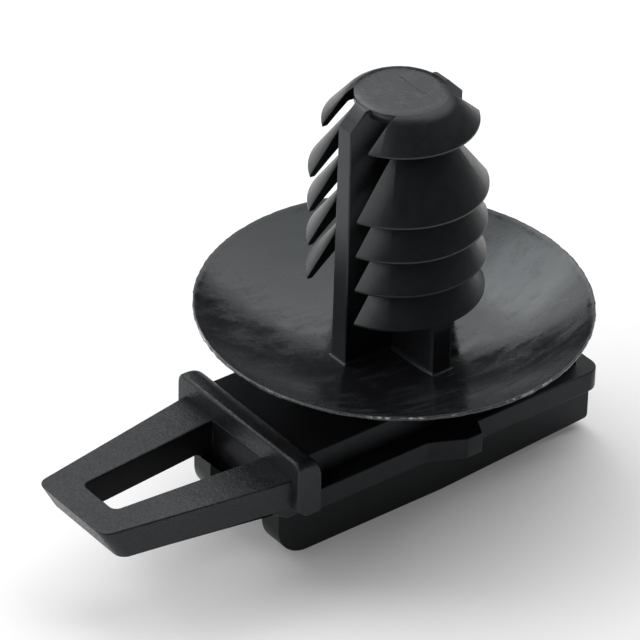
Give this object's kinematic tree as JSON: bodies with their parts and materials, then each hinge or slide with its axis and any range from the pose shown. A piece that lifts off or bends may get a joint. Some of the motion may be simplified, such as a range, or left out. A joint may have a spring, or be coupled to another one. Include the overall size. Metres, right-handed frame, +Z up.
{
  "type": "fir tree cable clip",
  "caption": "One-piece black nylon clip: a barbed fir tree stud on a dished round flange, above a slide rail with lock teeth, two skids and a windowed pull tongue.",
  "frame": {"origin": "On the stud's axis, in the plane of the dished flange's rim, which lies against the panel.", "axes": "+Z runs up the stud, into the panel's hole. -X is the way the tongue points, and the rail slides along X. +Y completes the right hand."},
  "size_m": [0.0266, 0.0178, 0.0196],
  "materials": {
    "nylon": "satin moulded nylon with a fine grain"
  },
  "bodies": {
    "root": {"fir_tree_clip": "nylon"}
  },
  "joints": []
}
